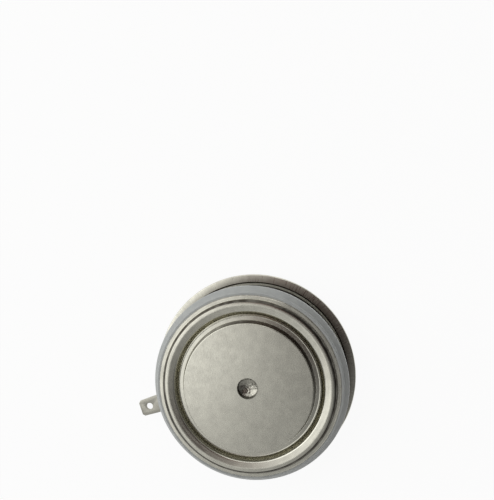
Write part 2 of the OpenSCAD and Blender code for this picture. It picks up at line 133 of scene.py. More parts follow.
class SheetSettings(bpy.types.PropertyGroup):
    """Bends of the pressed sheet rings."""

    upper_thickness: length("Upper sheet", 0.5, "Thickness of the upper diaphragm")
    moat_width: length("Groove width", 0.6, "From the shoulder to the bend in the groove")
    flank_width: length("Inner flank", 1.3, "Width of the hill's inner flank")
    crown_width: length("Crown", 3.7, "Width of the hill's crown")
    slope_width: length("Slope", 2.2, "Width of the slope from the inner bend to the crest")
    slope_drop: length("Slope drop", 0.45, "How far the inner bend lies below the crest")
    slope_round: length("Slope bend", 4, "Bend radius where the slope meets the crest")
    drop_width: length("Outer drop", 0.8, "Width of the hill's outer drop")
    moat_round: length("Groove bend", 0.6, "Bend radius at the bottom of the groove")
    hill_in_round: length("Inner bend", 0.9, "Bend radius at the hill's inner side")
    hill_out_round: length("Outer bend", 1.3, "Bend radius at the hill's outer side")
    lip_round: length("Lip bend", 0.45, "Bend radius at the foot of the outer drop")
    lip_edge: length("Lip edge", 0.12, "Rounding of the sheets' cut edges")
    lid_thickness: length("Lid sheet", 0.6, "Thickness of the lid flange's sheet")
    lid_moat_width: length("Lid groove", 0.65, "From the lower shoulder to the bend beside it")
    lid_flank_width: length("Hump inner flank", 0.85, "Width of the hump's inner flank")
    lid_drop_width: length("Hump outer flank", 0.45, "Width of the hump's outer flank")
    lid_run_width: length("Flat run", 0.5, "Flat run from the hump to the pinched groove")
    hump_gap: length("Hump gap", 0.8, "Height of the hump's crest above the lower face")
    hump_crown: length("Hump crown", 0.35, "Height of the crown between the hump's bends")
    lid_in_round: length("Lid inner bend", 0.5, "Bend radius beside the lower shoulder")
    hump_in_round: length("Hump inner bend", 1, "Bend radius at the hump's inner side")
    hump_round: length("Hump round", 3, "Radius of the hump's crown")
    hump_out_round: length("Hump outer bend", 0.9, "Bend radius at the hump's outer side")
    lid_foot_round: length("Lid foot bend", 0.35, "Bend radius at the foot of the outer flank")


class RimSettings(bpy.types.PropertyGroup):
    """Sizes of the ceramic's ends, the welded rim and the ear."""

    ceramic_wall: length("Ceramic wall", 5, "Wall thickness of the ceramic")
    ceramic_chamfer: length("Ceramic chamfer", 0.35, "Chamfer along the ceramic's outer edges")
    rib_out: length("Rib", 2, "How far the ceramic's rib stands out")
    rib_drop: length("Rib drop", 4.5, "From the ceramic's top face down to the rib's middle")
    rib_height: length("Rib height", 2, "Height of the rib's crest")
    rib_flank: length("Rib flank", 1.9, "Height of each flank of the rib")
    rib_round: length("Rib round", 0.9, "Rounding of the rib's crest")
    rib_foot_round: length("Rib foot", 0.6, "Rounding at the foot of the rib's flanks")
    edge_thickness: length("Edge thickness", 0.75, "Thickness of each flange at the rim's edge")
    pinch_thickness: length("Pinch thickness", 0.4, "Thickness that the cold weld leaves")
    pinch_gap: length("Pinch gap", 0.5, "From the ceramic to the pinched groove")
    pinch_width: length("Pinch width", 1.3, "Width of the pinched groove")
    rim_edge: length("Rim edge", 0.5, "Rounding of the rim's outer edge")
    nick: length("Nick", 0.12, "Rounding of the edges along the seam and the groove")
    weld_clearance: length("Weld clearance", 0.1, "From the lid flange to the weld flange's inside")
    ear_width: length("Ear width", 7.8, "Width of the ear at its root")
    ear_tip_width: length("Ear tip width", 6.8, "Width of the ear at its tip")
    ear_hole_radius: length("Ear hole", 1.4, "Radius of the hole in the ear")
    ear_hole_inset: length("Ear hole inset", 4.2, "From the ear's tip to its hole")
    ear_clip: length("Ear clip", 0.9, "Size of the clipped corners")
    ear_root_round: length("Ear root", 2.6, "Radius of the flare at the ear's root")
    ear_spread: length("Ear spread", 4, "Spread of the root along the rim on each side")
    ear_edge: length("Ear edge", 0.08, "Rounding of the ear's stamped edges")


class GateSettings(bpy.types.PropertyGroup):
    """Sizes of the gate spring."""

    spring_wire: length("Spring wire", 0.22, "Radius of the gate spring's wire")
    spring_turns: FloatProperty(
        name="Spring turns", description="Turns of the gate spring", default=3.0, min=1.0,
    )


class FinishSettings(bpy.types.PropertyGroup):
    """Colours and grain of the surfaces, and the fineness of the turned pieces."""

    nickel_light: colour("Nickel, light", "D4D2C5", "Clean satin nickel")
    nickel_dark: colour("Nickel, dark", "C8C6BA", "Nickel where it is duller")
    # This brown-black colours the painted shade in the nickel's narrow grooves and folds, and also the
    # tarnish on the ear and the ceramic's specks
    shade_and_tarnish: colour("Tarnish", "2A231C", "Brown-black tarnish in narrow grooves")
    alumina: colour("Alumina", "A3A6A4", "Cool grey alumina body")
    alumina_light: colour("Alumina, light", "AAADAA", "The same where it is lighter")
    # Real marks and grains of plating are finer, and are drawn this coarse so that they show
    cloud_size: length("Cloud size", 3, "Size of the faint clouds in the plating")
    lapping_size: length("Lapping marks", 1.2, "Spacing of the lapping marks")
    grain_size: length("Grain size", 0.25, "Size of the plating's fine grain")
    grain_depth: length("Grain depth", 0.006, "Depth of the plating's fine grain")
    braze_fleck: colour("Braze fleck", "DCDCD8", "Bright flecks in the ceramic's metal layer")
    turning_width: length("Turning marks", 0.2, "Spacing of the turning marks on the shoulders")
    drawing_width: length("Drawing lines", 0.2857, "Spacing of the drawing lines on pressed sheet")
    ripple_width: length("Ripples", 0.6667, "Width of the faint ripples in pressed sheet")
    stroke_width: length("Brush strokes", 0.4622, "Width of the brush strokes at the rim's edge")
    stroke_length: length("Stroke length", 4, "Length of the brush strokes")
    dull_width: length("Dull patches", 2.5, "Width of the dull patches on the rim")
    ragged_width: length("Ragged edge", 1.25, "Size of the steps in the metal layer's ragged edge")
    fleck_width: length("Flecks", 0.5, "Size of the flecks in the metal layer")
    speckle_size: length("Speckle size", 0.35, "Size of the ceramic's speckles")
    lapping_turn: angle("Lapping turn", 70.6, "Direction of the lapping marks")
    turn_steps: IntProperty(
        name="Turn steps", description="Steps of a full turn in a turned piece", default=360, min=48,
    )


class StudioSettings(bpy.types.PropertyGroup):
    """Camera, lamp, studio and floor."""

    camera_place: FloatVectorProperty(
        name="Camera place", description="Where the camera stands",
        default=(-0.04838, -0.0489, 0.23014), subtype="TRANSLATION", precision=4,
    )
    camera_forward: FloatVectorProperty(
        name="Camera direction", description="Direction in which the camera looks",
        default=(0.15027, -0.00461, -0.98863), subtype="DIRECTION", precision=4,
    )
    camera_up: FloatVectorProperty(
        name="Camera up", description="Direction that is up in the picture",
        default=(-0.32494, -0.94466, -0.04498), subtype="DIRECTION", precision=4,
    )
    lens: amount("Lens", 39.6, "Focal length in millimetres")
    key_turn: angle("Key turn", -42, "Azimuth from which the soft main light comes")
    key_power: amount("Key power", 0.7, "Power of the soft main light")
    sky_mid: amount("Sky, middle", 0.36, "Level straight above")
    sky_rise: amount("Sky, rise", 1.1, "Added soon towards the key")
    sky_fall: amount("Sky, fall", 0.42, "Taken off further towards the key")
    sky_foot: amount("Sky, foot", 0.2, "Added far below the picture")
    sky_dip: amount("Sky, dip", 0.2, "Taken off opposite the key")
    sky_low: amount("Sky, low", 0.2, "Share of the rise left below the picture")
    patch_place: FloatVectorProperty(
        name="Patch place", description="Direction of the dark patch beside the camera",
        default=(-0.271, -0.136, 0.953), subtype="DIRECTION", precision=3,
    )
    patch: amount("Patch", 0.75, "How far the patch darkens the sky")
    patch_tint: colour("Patch tint", "E2BAB2", "Warm tint of the patch")
    floor_colour: colour("Floor", "F6F6F4", "Pale floor")
    floor_size: length("Floor size", 3000, "Half the side of the floor")
    floor_lift: amount("Floor lift", 0.93, "Share of plain white in the floor")


# Outlines of sections, as points (radius, height)
ARC_STEPS = 8
GUARD = 0.04 * MM


def bend(before, here, after, radius):
    """Points of one rounded corner, each with the path's left-hand normal there."""
    into = (here - before).normalized()
    out = (after - here).normalized()
    turn = math.atan2(into.cross(out), into.dot(out))
    start = here - into * radius * math.tan(abs(turn) / 2)
    normal = Vector((-into.y, into.x))
    side = math.copysign(1.0, turn)
    middle = start + normal * side * radius
    samples = [(start - into * GUARD, normal)]
    for step in range(ARC_STEPS + 1):
        turned_normal = Matrix.Rotation(turn * step / ARC_STEPS, 2) @ normal
        samples.append((middle - turned_normal * side * radius, turned_normal))
    last_point, last_normal = samples[-1]
    samples.append((last_point + out * GUARD, last_normal))
    return samples


def outline(corners, closed=True):
    """Points of an outline from corners (x, y, radius), where radius 0 stays sharp."""
    points = []
    count = len(corners)
    for i, (x, y, radius) in enumerate(corners):
        here = Vector((x, y))
        if radius == 0:
            points.append(here)
            continue
        before = Vector(corners[i - 1][:2])
        after = Vector(corners[(i + 1) % count][:2])
        points += [point for point, normal in bend(before, here, after, radius)]
    return points


def sheet_section(path, thickness, edge):
    """Section of a bent sheet along the corners (x, y, radius) of its middle line."""
    points = [Vector(corner[:2]) for corner in path]
    samples = []
    for i in range(1, len(path) - 1):
        samples += bend(points[i - 1], points[i], points[i + 1], path[i][2])
    ends = []
    for first, second in ((points[0], points[1]), (points[-1], points[-2])):
        along = (second - first).normalized()
        normal = Vector((-along.y, along.x))
        half = thickness / 2
        ends.append([
            first + along * edge - normal * half,
            first - normal * (half - edge),
            first + normal * (half - edge),
            first + along * edge + normal * half,
        ])
    left = [point + normal * thickness / 2 for point, normal in samples]
    right = [point - normal * thickness / 2 for point, normal in reversed(samples)]
    return ends[0] + left + ends[1] + right


def node(tree, kind, inputs=(), **settings):
    """Adds a node with its settings, and links or sets its inputs, in order or by name."""
    made = tree.nodes.new(kind)
    for name, value in settings.items():
        setattr(made, name, value)
    for key, value in inputs.items() if isinstance(inputs, dict) else enumerate(inputs):
        if isinstance(value, bpy.types.Node):
            value = next(socket for socket in value.outputs if socket.enabled)
        if isinstance(value, bpy.types.NodeSocket):
            tree.links.new(value, made.inputs[key])
        else:
            made.inputs[key].default_value = value
    return made


# Geometry Nodes trees
def new_tree(name, inputs):
    """A Geometry Nodes tree with named inputs, and its input and output nodes."""
    tree = bpy.data.node_groups.new(name, "GeometryNodeTree")
    for label, kind in inputs:
        tree.interface.new_socket(label, in_out="INPUT", socket_type=kind)
    tree.interface.new_socket("Solid", in_out="OUTPUT", socket_type="NodeSocketGeometry")
    return tree, node(tree, "NodeGroupInput").outputs


def end_tree(tree, geometry, given):
    """Ends a tree in Realize Instances and Set Material."""
    real = node(tree, "GeometryNodeRealizeInstances", {"Geometry": geometry})
    finished = node(tree, "GeometryNodeSetMaterial", {
        "Geometry": real, "Material": given["Finish"],
    })
    node(tree, "NodeGroupOutput", {"Solid": finished})
    return tree


def turning_tree():
    """Tree that turns a section, drawn in the XY plane, round the Z axis."""
    tree, given = new_tree("turning", [
        ("Section", "NodeSocketGeometry"), ("Turn Steps", "NodeSocketInt"),
        ("Hub Radius", "NodeSocketFloat"), ("Weld Distance", "NodeSocketFloat"),
        ("Finish", "NodeSocketMaterial"),
    ])
    inward = node(tree, "ShaderNodeMath", {0: 0.0, 1: given["Hub Radius"]}, operation="SUBTRACT")
    shift = node(tree, "ShaderNodeCombineXYZ", {"X": inward})
    placed = node(tree, "GeometryNodeTransform", {
        "Geometry": given["Section"], "Translation": shift, "Scale": (1, -1, 1),
    })
    section = node(tree, "GeometryNodeMeshToCurve", {"Mesh": placed})
    circle = node(tree, "GeometryNodeCurvePrimitiveCircle", {
        "Resolution": given["Turn Steps"], "Radius": given["Hub Radius"],
    })
    turned = node(tree, "GeometryNodeCurveToMesh", {
        "Curve": circle, "Profile Curve": section,
    })
    welded = node(tree, "GeometryNodeMergeByDistance", {
        "Geometry": turned, "Distance": given["Weld Distance"],
    })
    return end_tree(tree, welded, given)


def coil_tree():
    """Tree that winds a round wire into an upright coil."""
    tree, given = new_tree("coil", [
        ("Base", "NodeSocketGeometry"), ("Turns", "NodeSocketFloat"), ("Rise", "NodeSocketFloat"),
        ("Coil Radius", "NodeSocketFloat"), ("Wire Radius", "NodeSocketFloat"),
        ("Steps", "NodeSocketInt"), ("Wire Steps", "NodeSocketInt"), ("Foot", "NodeSocketVector"),
        ("Finish", "NodeSocketMaterial"),
    ])
    spiral = node(tree, "GeometryNodeCurveSpiral", {
        "Resolution": given["Steps"], "Rotations": given["Turns"],
        "Start Radius": given["Coil Radius"], "End Radius": given["Coil Radius"],
        "Height": given["Rise"],
    })
    wire = node(tree, "GeometryNodeCurvePrimitiveCircle", {
        "Resolution": given["Wire Steps"], "Radius": given["Wire Radius"],
    })
    wound = node(tree, "GeometryNodeCurveToMesh", {
        "Curve": spiral, "Profile Curve": wire, "Fill Caps": True,
    })
    placed = node(tree, "GeometryNodeTransform", {
        "Geometry": wound, "Translation": given["Foot"],
    })
    return end_tree(tree, placed, given)


def evaluated_copy(holder):
    """Plain mesh of an object with its modifiers applied."""
    bpy.context.view_layer.update()
    graph = bpy.context.evaluated_depsgraph_get()
    return bpy.data.meshes.new_from_object(holder.evaluated_get(graph), depsgraph=graph)


def renew(piece, mesh):
    """Gives an object a new mesh and deletes its old one."""
    old = piece.data
    piece.data = mesh
    bpy.data.meshes.remove(old)


def grow(holder, tree, values):
    """Runs a Geometry Nodes tree on an object and keeps its result as a plain mesh."""
    modifier = holder.modifiers.new(tree.name, "NODES")
    modifier.node_group = tree
    for item in tree.interface.items_tree:
        if item.in_out == "INPUT" and item.name in values:
            modifier[item.identifier] = values[item.name]
    made = evaluated_copy(holder)
    holder.modifiers.remove(modifier)
    renew(holder, made)
    if not made.polygons:
        raise RuntimeError(f"the tree {tree.name} made nothing for {holder.name}")


def new_object(name, mesh):
    """Links a new mesh object at the origin."""
    piece = bpy.data.objects.new(name, mesh)
    bpy.context.scene.collection.objects.link(piece)
    return piece


# Sharpest edge that is shaded smooth, and fineness of the cut, wound and stamped shapes
SMOOTH_ANGLE = math.radians(32)
HUB_RADIUS = 1 * MM
WELD_DISTANCE = 0.0005 * MM
BORE_STEPS = 64
COIL_STEPS = 144
WIRE_STEPS = 16
EAR_HOLE_STEPS = 48
EAR_EDGE_STEPS = 2


def settle(piece, material):
    """Turns the faces outwards, smooths them between sharp edges and gives the finish."""
    mesh = piece.data
    work = bmesh.new()
    work.from_mesh(mesh)
    bmesh.ops.recalc_face_normals(work, faces=work.faces)
    open_edges = [edge for edge in work.edges if not edge.is_manifold]
    work.to_mesh(mesh)
    work.free()
    if open_edges:
        raise RuntimeError(f"{piece.name} has {len(open_edges)} open edges")
    mesh.shade_smooth()
    mesh.set_sharp_from_angle(angle=SMOOTH_ANGLE)
    mesh.materials.clear()
    mesh.materials.append(material)
    mesh.name = piece.name


def turned_piece(name, section, material, closed=True):
    """Solid of revolution from a section; an open section starts and ends on the axis."""
    count = len(section)
    edges = [(i, i + 1) for i in range(count - 1)] + ([(count - 1, 0)] if closed else [])
    mesh = bpy.data.meshes.new(name)
    mesh.from_pydata([(point.x, point.y, 0.0) for point in section], edges, [])
    piece = new_object(name, mesh)
    grow(piece, trees()["turning"], {
        "Turn Steps": settings().finish.turn_steps, "Hub Radius": HUB_RADIUS,
        "Weld Distance": WELD_DISTANCE, "Finish": material,
    })
    settle(piece, material)
    return piece


def boolean(piece, tool, operation):
    """Joins or cuts a piece with a tool, which is then deleted."""
    modifier = piece.modifiers.new(operation, "BOOLEAN")
    modifier.operation = operation
    modifier.object = tool
    modifier.solver = "EXACT"
    made = evaluated_copy(piece)
    piece.modifiers.remove(modifier)
    renew(piece, made)
    bpy.data.objects.remove(tool)


def worked_object(name, work):
    """New object from a bmesh, which is then freed."""
    mesh = bpy.data.meshes.new(name)
    work.to_mesh(mesh)
    work.free()
    return new_object(name, mesh)


def bar(name, radius, start, end, height):
    """Round bar along +X at a height."""
    work = bmesh.new()
    along = Matrix.Translation(((start + end) / 2, 0, height)) @ Matrix.Rotation(math.pi / 2, 4, "Y")
    bmesh.ops.create_cone(
        work, cap_ends=True, segments=BORE_STEPS, radius1=radius, radius2=radius,
        depth=end - start, matrix=along,
    )
    return worked_object(name, work)


def block(name, lowest, highest):
    """Box between two corners."""
    work = bmesh.new()
    bmesh.ops.create_cube(work, size=1.0)
    for vert in work.verts:
        vert.co = Vector(high_end if side > 0 else low_end
                         for low_end, high_end, side in zip(lowest, highest, vert.co))
    return worked_object(name, work)


def settings():
    """The scene's settings of this add-on."""
    return bpy.context.scene.thyristor


_trees = {}


def trees():
    """The Geometry Nodes trees, built once."""
    if not _trees:
        _trees["turning"] = turning_tree()
        _trees["coil"] = coil_tree()
    return _trees


def finish_piece(piece, slot, *nodes):
    """Lets a piece stand for its solids and move with the body."""
    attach(piece, BODY)
    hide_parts(*nodes)


# Places shared by the pieces, worked out from the solids and the settings
def places():
    """Radii and heights that several pieces share."""
    given = settings()
    at = {}
    at["top"] = high("top_pole", "z")
    at["shoulder_r"] = high("top_pole", "x")
    at["anode_face"] = low("top_pole", "z")
    at["shoulder_top"] = at["top"] - given.poles.land_height
    at["shoulder_foot"] = at["shoulder_top"] - given.poles.shoulder_thickness
    at["lid_shoulder_r"] = high("bottom_pole", "x")
    at["cathode_face"] = high("bottom_pole", "z")
    at["lid_shoulder_in"] = given.poles.lid_land_height + given.poles.lid_shoulder_thickness
    at["rib_r"] = high("ceramic_ring", "y")
    at["ceramic_r"] = at["rib_r"] - given.rim.rib_out
    at["ceramic_foot"] = low("ceramic_ring", "z")
    at["ceramic_top"] = high("ceramic_ring", "z")
    at["seam"] = low("weld_flange", "z")
    at["flange_t"] = high("weld_flange", "z") - at["seam"]
    at["rim_r"] = high("weld_flange", "y")
    at["ear_tip"] = high("weld_flange", "x")
    at["lip_out_r"] = high("top_diaphragm", "x")
    at["pinch_in_r"] = at["ceramic_r"] + given.rim.pinch_gap
    at["pinch_out_r"] = at["pinch_in_r"] + given.rim.pinch_width
    at["gate_z"] = (high("gate_tube", "z") + low("gate_tube", "z")) / 2
    at["tube_r"] = high("gate_tube", "y")
    return at


# Materials
# Where most values of a noise lie
NOISE = (0.3, 0.7)
# Sockets of a Mix node for colours
SHARE, FIRST, SECOND = 0, 6, 7


def new_material(name):
    """A material with an empty tree, and the object's own coordinates."""
    material = bpy.data.materials.new(name)
    material.use_nodes = True
    tree = material.node_tree
    tree.nodes.clear()
    return material, tree, node(tree, "ShaderNodeTexCoord").outputs["Object"]


class Round:
    """Masks and patterns of a turned piece, by direction, radius and height in millimetres."""

    def __init__(self, tree, place):
        scaled = node(tree, "ShaderNodeVectorMath", {0: place, "Scale": 1 / MM}, operation="SCALE")
        flat = node(tree, "ShaderNodeVectorMath", [scaled, (1, 1, 0)], operation="MULTIPLY")
        away = node(tree, "ShaderNodeVectorMath", [flat], operation="NORMALIZE")
        self.tree = tree
        self.height = node(tree, "ShaderNodeSeparateXYZ", [scaled]).outputs["Z"]
        self.radius = node(tree, "ShaderNodeVectorMath", [flat], operation="LENGTH")
        self.away = node(tree, "ShaderNodeSeparateXYZ", [away]).outputs

    def pattern(self, span, width, detail=2.0):
        """Noise whose grain spans an angle round the axis and a width outwards, in metres."""
        polar = node(self.tree, "ShaderNodeCombineXYZ", [self.away["X"], self.away["Y"], self.radius])
        place = node(self.tree, "ShaderNodeVectorMath", [polar, (1 / span, 1 / span, MM / width)],
                     operation="MULTIPLY")
        return node(self.tree, "ShaderNodeTexNoise", {"Vector": place, "Scale": 1.0, "Detail": detail})

    def ring(self, at, half, near=1.0, far=0.0):
        """One level on a circle and another from half a width off it, both lengths in metres."""
        off = node(self.tree, "ShaderNodeMath", [self.radius, at / MM], operation="SUBTRACT")
        off = node(self.tree, "ShaderNodeMath", [off], operation="ABSOLUTE")
        return node(self.tree, "ShaderNodeMapRange", [off, half / MM / 2, half / MM, near, far],
                    interpolation_type="SMOOTHSTEP")

    def outside(self, at, blend, within=0.0, beyond=1.0):
        """One level within a radius and another beyond it, both lengths in metres."""
        return node(self.tree, "ShaderNodeMapRange", [
            self.radius, (at - blend) / MM, (at + blend) / MM, within, beyond,
        ], interpolation_type="SMOOTHSTEP")

    def above(self, at, blend):
        """One above a height, nothing below it, both lengths in metres."""
        return node(self.tree, "ShaderNodeMapRange", [self.height, (at - blend) / MM, (at + blend) / MM],
                    interpolation_type="SMOOTHSTEP")


def wear(tree, place, detail, start, end, least, greatest):
    """Patchy noise in the size of the plating's clouds, between two strengths."""
    clouds = node(tree, "ShaderNodeTexNoise", {
        "Vector": place, "Scale": 1 / settings().finish.cloud_size, "Detail": detail,
    })
    return node(tree, "ShaderNodeMapRange", [clouds, start, end, least, greatest],
                interpolation_type="SMOOTHSTEP")


def nickel_colour(tree, place, darkening):
    """Warm grey nickel with faint clouds, darkened towards a brown-black as far as its mask says, which
    holds painted shade in the grooves as well as tarnish and other marks.
    """
    look = settings().finish
    clouds = node(tree, "ShaderNodeTexNoise", {
        "Vector": place, "Scale": 1 / look.cloud_size, "Detail": 4.0, "Roughness": 0.6,
    })
    duller = node(tree, "ShaderNodeMapRange", [clouds, *NOISE], interpolation_type="SMOOTHSTEP")
    clean = node(tree, "ShaderNodeMix", {
        SHARE: duller, FIRST: look.nickel_dark, SECOND: look.nickel_light,
    }, data_type="RGBA")
    return node(tree, "ShaderNodeMix", {SHARE: darkening, FIRST: clean, SECOND: look.shade_and_tarnish}, data_type="RGBA")


def lapped_nickel():
    """Nickel plating over lapped copper: satin, with fine straight lapping marks and faint
    clouds, so that the wide flat face shows one soft light gradient with a little grain. The
    torn floor of the drilled hole glitters. Painted shade darkens the hole's mouth and floor
    and the relief at the land's foot, in patches."""
    mark_stretch = 6
    mark_height, grain_height, torn_height = 0.6, 0.05, 55.0
    # Strengths of the painted shade in the relief, at the hole's mouth and on the hole's floor
    relief_shade, mouth_shade, hole_floor_shade = 0.75, 0.8, 0.35
    material, tree, place = new_material("lapped_nickel_on_copper")
    look, pole = settings().finish, settings().poles
    turned = Round(tree, place)
    drag = node(tree, "ShaderNodeMapping", {
        "Vector": place, "Rotation": (0, 0, look.lapping_turn), "Scale": (1, 1 / mark_stretch, 1),
    }, vector_type="TEXTURE")
    marks = node(tree, "ShaderNodeTexNoise", {"Vector": drag, "Scale": 1 / look.lapping_size})
    grain = node(tree, "ShaderNodeTexNoise", {"Vector": place, "Scale": 1 / look.grain_size})
    torn = node(tree, "ShaderNodeTexNoise", {"Vector": place, "Scale": 1 / look.lapping_size})
    shoulder = turned.outside(pole.contact_radius, pole.contact_edge)
    rings = turned.pattern(math.radians(38.2), look.turning_width)
    height = 0.0
    for pattern, strength in (
        (marks, mark_height), (grain, grain_height), (rings, shoulder),
        (torn, turned.outside(pole.hole_radius, pole.hole_edge, torn_height, 0.0)),
    ):
        height = node(tree, "ShaderNodeMath", [pattern, strength, height], operation="MULTIPLY_ADD")
    # Painted shade in the relief and the drilled hole, made patchy by the clouds
    shade_and_soil = 0.0
    for mask in (
        turned.ring(pole.contact_radius + pole.relief_width / 2, pole.relief_width * 0.7, relief_shade),
        turned.ring(pole.hole_radius - pole.hole_edge, pole.hole_edge * 3, mouth_shade),
        turned.outside(pole.hole_radius, pole.hole_edge, hole_floor_shade, 0.0),
    ):
        shade_and_soil = node(tree, "ShaderNodeMath", [shade_and_soil, mask], operation="MAXIMUM")
    patchiness = wear(tree, place, 3.0, 0.2, 0.6, 0.5, 0.95)
    shade_and_soil = node(tree, "ShaderNodeMath", [shade_and_soil, patchiness], operation="MULTIPLY")
    satin = node(tree, "ShaderNodeMapRange", [marks, 0.25, 0.75, 0.22, 0.3],
                 interpolation_type="SMOOTHSTEP")
    rough = node(tree, "ShaderNodeMath", [shoulder, -0.04, satin], operation="MULTIPLY_ADD")
    shader = node(tree, "ShaderNodeBsdfPrincipled", {
        "Base Color": nickel_colour(tree, place, shade_and_soil), "Metallic": 1.0, "Roughness": rough,
        "Normal": node(tree, "ShaderNodeBump", {"Height": height, "Distance": look.grain_depth}),
    })
    node(tree, "ShaderNodeOutputMaterial", {"Surface": shader})
    return material


def pressed_nickel():
    """Nickel plating over pressed sheet: smoother than the faces, with circular drawing lines
    that stretch the highlights along the bends. Painted shade darkens the bottom of the groove a
    little, and a painted dark reflection darkens the hill's outer drop."""
    material, tree, place = new_material("pressed_nickel_sheet")
    look, sheet, at = settings().finish, settings().sheets, places()
    turned = Round(tree, place)
    lines = turned.pattern(math.radians(28.65), look.drawing_width)
    wide = turned.pattern(math.radians(19.1), look.ripple_width)
    fold = at["shoulder_r"] + sheet.moat_width
    foot = fold + sheet.flank_width + sheet.crown_width + sheet.drop_width / 3
    # Painted shade: a little at the bottom of the groove, and fully as a painted dark reflection on the
    # outer drop, made patchy by the clouds
    inner = turned.ring(fold, sheet.moat_width, 0.1)
    outer = turned.ring(foot, sheet.drop_width * 0.9)
    shade_and_soil = node(tree, "ShaderNodeMath", [inner, outer], operation="MAXIMUM")
    patchiness = wear(tree, place, 3.0, 0.25, 0.65, 0.78, 0.95)
    shade_and_soil = node(tree, "ShaderNodeMath", [shade_and_soil, patchiness], operation="MULTIPLY")
    calm = turned.ring(fold, sheet.flank_width, 0.0, 1.0)
    height = node(tree, "ShaderNodeMath", [lines, 0.7, wide], operation="MULTIPLY_ADD")
    height = node(tree, "ShaderNodeMath", [height, calm], operation="MULTIPLY")
    rough = node(tree, "ShaderNodeMapRange", [wide, *NOISE, 0.2, 0.28], interpolation_type="SMOOTHSTEP")
    shader = node(tree, "ShaderNodeBsdfPrincipled", {
        "Base Color": nickel_colour(tree, place, shade_and_soil), "Metallic": 1.0, "Roughness": rough,
        "Normal": node(tree, "ShaderNodeBump", {"Height": height, "Distance": look.grain_depth}),
    })
    node(tree, "ShaderNodeOutputMaterial", {"Surface": shader})
    return material


def brushed_rim():
    """Nickel-plated rim, cold welded and brushed outwards: radial strokes break up its
    reflections. Painted shade darkens the pinched groove and the strip beside the ceramic, the
    rim's top is darker towards the groove, and the ear and some dull patches are tarnished."""
    material, tree, place = new_material("brushed_nickel_rim")
    look, rim, at = settings().finish, settings().rim, places()
    turned = Round(tree, place)
    strokes = turned.pattern(look.stroke_width / at["rim_r"], look.stroke_length, 3.0)
    dull = turned.pattern(math.radians(6.366), look.dull_width)
    # The rim's top is darker towards the pinched groove and fades out at the rim's edge
    darker_near_groove = node(tree, "ShaderNodeMapRange", [
        turned.radius, at["pinch_out_r"] / MM, at["rim_r"] / MM, 0.55, 0.0,
    ], interpolation_type="SMOOTHSTEP")
    ear_wear = wear(tree, place, 4.0, *NOISE, 0.25, 0.42)
    # Painted shade in the pinched groove and in the strip beside the ceramic; tarnish on the ear and in
    # dull patches
    shade_and_soil = 0.0
    for mask in (
        turned.ring(at["pinch_out_r"], rim.pinch_width * 0.35),
        turned.ring(at["pinch_in_r"] - rim.pinch_gap / 2, rim.pinch_gap),
        turned.outside(at["rim_r"] + rim.rim_edge, rim.rim_edge, 0.0, ear_wear),
        turned.outside(at["pinch_out_r"], rim.nick, 0.0, darker_near_groove),
        node(tree, "ShaderNodeMapRange", [dull, 0.4, 1.0, 0.0, 0.25], interpolation_type="SMOOTHSTEP"),
    ):
        shade_and_soil = node(tree, "ShaderNodeMath", [shade_and_soil, mask], operation="MAXIMUM")
    rough = node(tree, "ShaderNodeMapRange", [strokes, *NOISE, 0.26, 0.4], interpolation_type="SMOOTHSTEP")
    shader = node(tree, "ShaderNodeBsdfPrincipled", {
        "Base Color": nickel_colour(tree, place, shade_and_soil), "Metallic": 1.0, "Roughness": rough,
        "Normal": node(tree, "ShaderNodeBump", {"Height": strokes, "Distance": look.grain_depth}),
    })
    node(tree, "ShaderNodeOutputMaterial", {"Surface": shader})
    return material


def alumina_ceramic():
    """Glazed alumina: an opaque, cool grey body with a soft glaze highlight. Its top face
    carries a nickel-plated metal layer for the braze, with a ragged edge and bright flecks."""
    ragged_depth, edge_blend = 0.6, 0.15
    material, tree, place = new_material("glazed_alumina")
    look, rim, at = settings().finish, settings().rim, places()
    turned = Round(tree, place)
    speckle = node(tree, "ShaderNodeTexNoise", {"Vector": place, "Scale": 1 / look.speckle_size})
    specks = node(tree, "ShaderNodeMapRange", [speckle, 0.68, 0.8, 0.0, 0.3],
                  interpolation_type="SMOOTHSTEP")
    body = node(tree, "ShaderNodeMix", {
        SHARE: wear(tree, place, 2.0, *NOISE, 0.0, 1.0), FIRST: look.alumina, SECOND: look.alumina_light,
    }, data_type="RGBA")
    body = node(tree, "ShaderNodeMix", {SHARE: specks, FIRST: body, SECOND: look.shade_and_tarnish}, data_type="RGBA")
    glaze = node(tree, "ShaderNodeBsdfPrincipled", {
        "Base Color": body, "Roughness": 0.42, "Coat Weight": 0.35, "Coat Roughness": 0.18,
    })

    ragged = turned.pattern(math.radians(2.2037), look.ragged_width, 3.0)
    ragged = node(tree, "ShaderNodeMath", [ragged, 0.5], operation="SUBTRACT")
    ragged = node(tree, "ShaderNodeMath", [ragged, ragged_depth, turned.radius], operation="MULTIPLY_ADD")
    metal_r = (at["lip_out_r"] + rim.pinch_gap / 2) / MM
    top = turned.above(at["ceramic_top"] - rim.ceramic_chamfer, 0.1 * MM)
    layer = node(tree, "ShaderNodeMapRange", [
        ragged, metal_r - edge_blend, metal_r + edge_blend, top, 0.0,
    ], interpolation_type="SMOOTHSTEP")
    darkening = node(tree, "ShaderNodeMapRange", [speckle, *NOISE, 0.55, 0.15], interpolation_type="SMOOTHSTEP")
    flecks = node(tree, "ShaderNodeMapRange", [
        turned.pattern(math.radians(1.4324), look.fleck_width, 3.0), 0.55, 0.65, 0.0, 0.7,
    ], interpolation_type="SMOOTHSTEP")
    braze = node(tree, "ShaderNodeMix", {
        SHARE: flecks, FIRST: nickel_colour(tree, place, darkening), SECOND: look.braze_fleck,
    }, data_type="RGBA")
    metal = node(tree, "ShaderNodeBsdfPrincipled", {
        "Base Color": braze, "Metallic": 1.0, "Roughness": 0.38,
        "Normal": node(tree, "ShaderNodeBump", {"Height": speckle, "Distance": look.grain_depth * 3}),
    })
    shader = node(tree, "ShaderNodeMixShader", [layer, glaze, metal])
    node(tree, "ShaderNodeOutputMaterial", {"Surface": shader})
    return material


